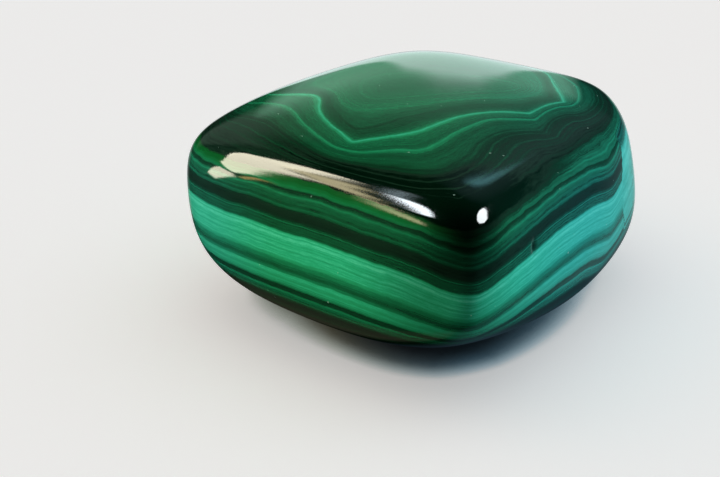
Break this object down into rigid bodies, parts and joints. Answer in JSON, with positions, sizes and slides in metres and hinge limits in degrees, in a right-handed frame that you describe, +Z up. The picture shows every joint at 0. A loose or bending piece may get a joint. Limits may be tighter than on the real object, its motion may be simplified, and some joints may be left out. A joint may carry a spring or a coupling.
{
  "type": "tumbled malachite stone",
  "caption": "Tumbled and polished malachite stone with banded green layers: a low rounded block that rests on a flat underside.",
  "frame": {"origin": "bottom centre of the stone's bounding box, on the surface it rests on", "axes": "+Z up; -Y towards the front corner and the viewer of the picture; +X to that viewer's right, towards the crisp end facet"},
  "size_m": [0.0418, 0.0454, 0.019],
  "materials": {
    "malachite": "tumble polished, banded from near black through deep green to pale blue-green"
  },
  "bodies": {
    "root": {"malachite_stone": "malachite"}
  },
  "joints": []
}
